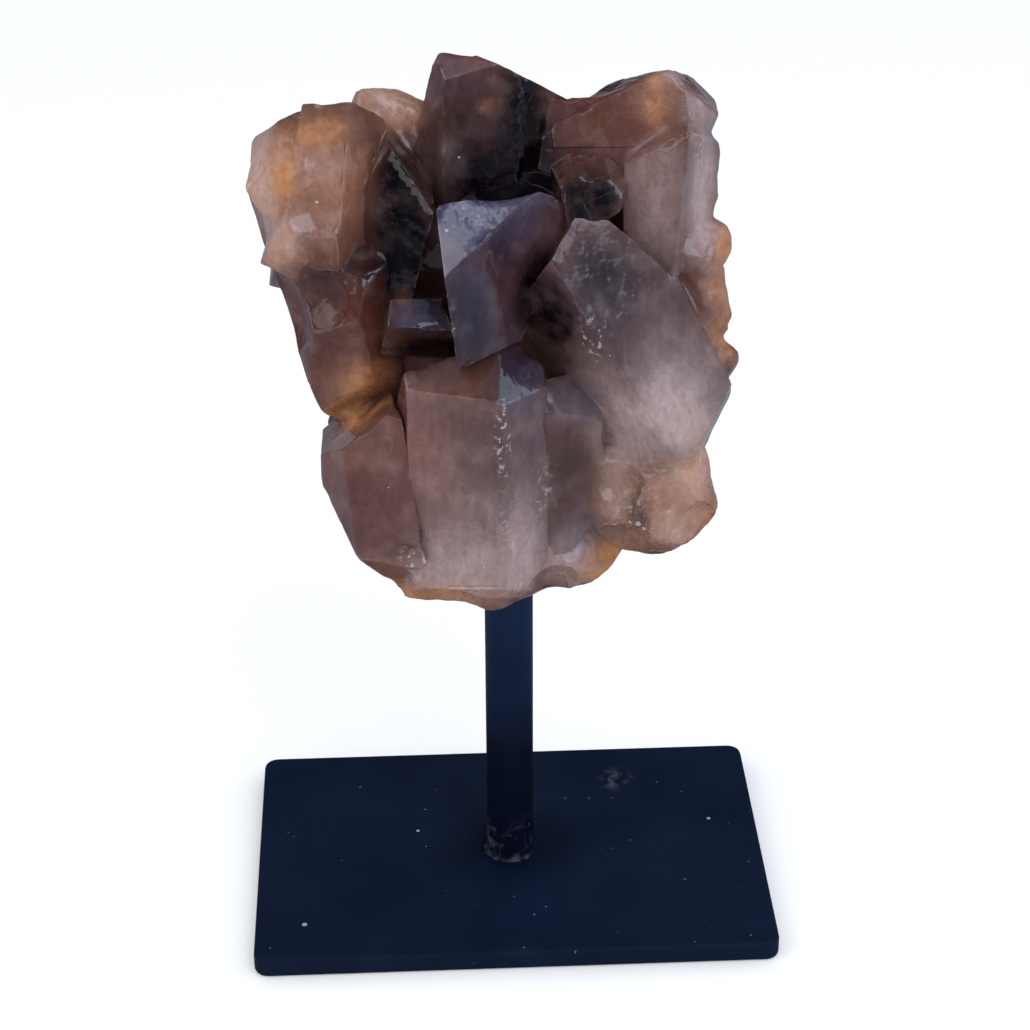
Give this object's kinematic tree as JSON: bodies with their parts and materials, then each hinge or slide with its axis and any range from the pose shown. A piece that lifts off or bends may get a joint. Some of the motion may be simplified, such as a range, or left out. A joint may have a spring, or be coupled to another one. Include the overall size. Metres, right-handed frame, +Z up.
{
  "type": "smoky quartz cluster on stand",
  "caption": "Cluster of smoky quartz crystals grown together, drilled from below and held up on a round black post over a flat rectangular black plate.",
  "frame": {"origin": "centre of the plate's underside, below the middle of the post", "axes": "+Z up along the post, -Y towards the viewer of the stone's show side, +X to that viewer's right along the plate's long side"},
  "size_m": [0.0874, 0.0582, 0.1473],
  "materials": {
    "smoky_quartz": "glassy crystal faces, smoky brown and mauve, with broken, milky and rust-stained parts",
    "black_steel": "satin blue-black powder coat"
  },
  "bodies": {
    "root": {"quartz_cluster": "smoky_quartz", "post": "black_steel", "base_plate": "black_steel"}
  },
  "joints": []
}
